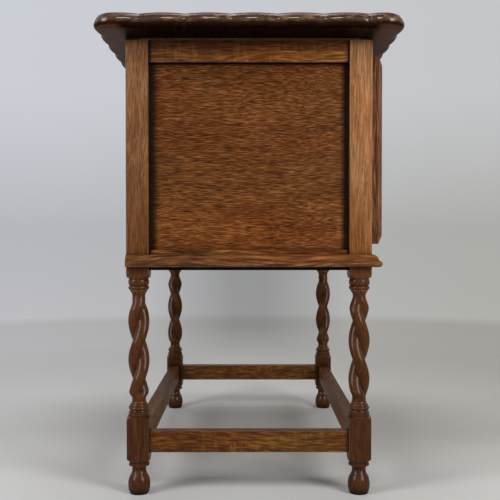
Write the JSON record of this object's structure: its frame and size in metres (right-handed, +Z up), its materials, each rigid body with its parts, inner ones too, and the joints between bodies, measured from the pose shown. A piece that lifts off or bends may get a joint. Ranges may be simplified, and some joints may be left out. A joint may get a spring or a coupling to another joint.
{
  "type": "side cabinet",
  "caption": "Oak side cabinet with hinged panelled doors, a scalloped overhanging top, a base moulding, turned and twisted legs, and a box stretcher.",
  "frame": {"origin": "on the floor, under the middle of the cabinet", "axes": "+X along the width, to the right as one stands before the doors; the doors face -Y; +Z up"},
  "size_m": [0.95, 0.532, 0.842],
  "materials": {
    "frame_oak": "waxed medium brown oak",
    "top_oak": "polished dark brown oak",
    "panel_oak": "waxed reddish brown oak",
    "inside_oak": "bare, dry oak",
    "brass": "aged brass",
    "steel": "dulled steel"
  },
  "bodies": {
    "carcass": {"front_left_post": "frame_oak", "front_right_post": "frame_oak", "back_left_post": "frame_oak", "back_right_post": "frame_oak", "left_top_rail": "frame_oak", "left_bottom_rail": "frame_oak", "left_panel": "panel_oak", "right_top_rail": "frame_oak", "right_bottom_rail": "frame_oak", "right_panel": "panel_oak", "back_top_rail": "frame_oak", "back_bottom_rail": "frame_oak", "back_panel": "panel_oak", "front_top_rail": "frame_oak", "front_bottom_rail": "frame_oak", "front_base_moulding": "frame_oak", "left_base_moulding": "frame_oak", "right_base_moulding": "frame_oak", "front_stretcher": "frame_oak", "back_stretcher": "frame_oak", "left_stretcher": "frame_oak", "right_stretcher": "frame_oak", "floor_board": "inside_oak", "shelf": "inside_oak", "left_shelf_bearer": "inside_oak", "right_shelf_bearer": "inside_oak", "dust_board": "inside_oak", "top": "top_oak", "top_screws": "steel", "left_hinge_frame_leaves": "brass", "left_hinge_pins": "brass", "right_hinge_frame_leaves": "brass", "right_hinge_pins": "brass", "frame_hinge_screws": "brass"},
    "left_door": {"left_door_hinge_stile": "frame_oak", "left_door_lock_stile": "frame_oak", "left_door_top_rail": "frame_oak", "left_door_bottom_rail": "frame_oak", "left_door_panel": "panel_oak", "left_door_moulding": "frame_oak", "left_hinge_door_leaves": "brass", "left_door_hinge_screws": "brass", "left_handle_plate": "brass", "slide_bolt_plate": "brass"},
    "right_door": {"right_door_hinge_stile": "frame_oak", "right_door_lock_stile": "frame_oak", "right_door_top_rail": "frame_oak", "right_door_bottom_rail": "frame_oak", "right_door_panel": "panel_oak", "right_door_moulding": "frame_oak", "right_hinge_door_leaves": "brass", "right_door_hinge_screws": "brass", "right_handle_plate": "brass", "lock_case": "brass", "escutcheon": "brass"},
    "left_handle": {"left_handle_drop": "brass"},
    "right_handle": {"right_handle_drop": "brass"},
    "key": {"key": "steel"},
    "lock_bolt": {"lock_bolt": "brass"},
    "slide_bolt": {"slide_bolt_rod": "brass"}
  },
  "joints": [
    {"name": "left_door_hinge", "type": "hinge", "parent": "carcass", "child": "left_door", "pos_m": [-0.35, -0.222, 0.6205], "axis": [0, 0, -1], "range_deg": [0, 100]},
    {"name": "right_door_hinge", "type": "hinge", "parent": "carcass", "child": "right_door", "pos_m": [0.35, -0.222, 0.6205], "axis": [0, 0, 1], "range_deg": [0, 100]},
    {"name": "left_handle_swing", "type": "hinge", "parent": "left_door", "child": "left_handle", "pos_m": [-0.0475, -0.2275, 0.6455], "axis": [-1, 0, 0], "range_deg": [0, 85]},
    {"name": "right_handle_swing", "type": "hinge", "parent": "right_door", "child": "right_handle", "pos_m": [0.0475, -0.2275, 0.6455], "axis": [-1, 0, 0], "range_deg": [0, 85]},
    {"name": "key_turn", "type": "hinge", "parent": "right_door", "child": "key", "pos_m": [0.0475, -0.2185, 0.5855], "axis": [0, -1, 0], "range_deg": [0, 360]},
    {"name": "lock_bolt_throw", "type": "slide", "parent": "right_door", "child": "lock_bolt", "axis": [-1, 0, 0], "range_m": [0, 0.007]},
    {"name": "slide_bolt_lift", "type": "slide", "parent": "left_door", "child": "slide_bolt", "axis": [0, 0, 1], "range_m": [0, 0.008]}
  ],
  "couplings": [
    {"joint": "key_turn", "follows": "lock_bolt_throw", "rad_per_m": 897.6}
  ]
}
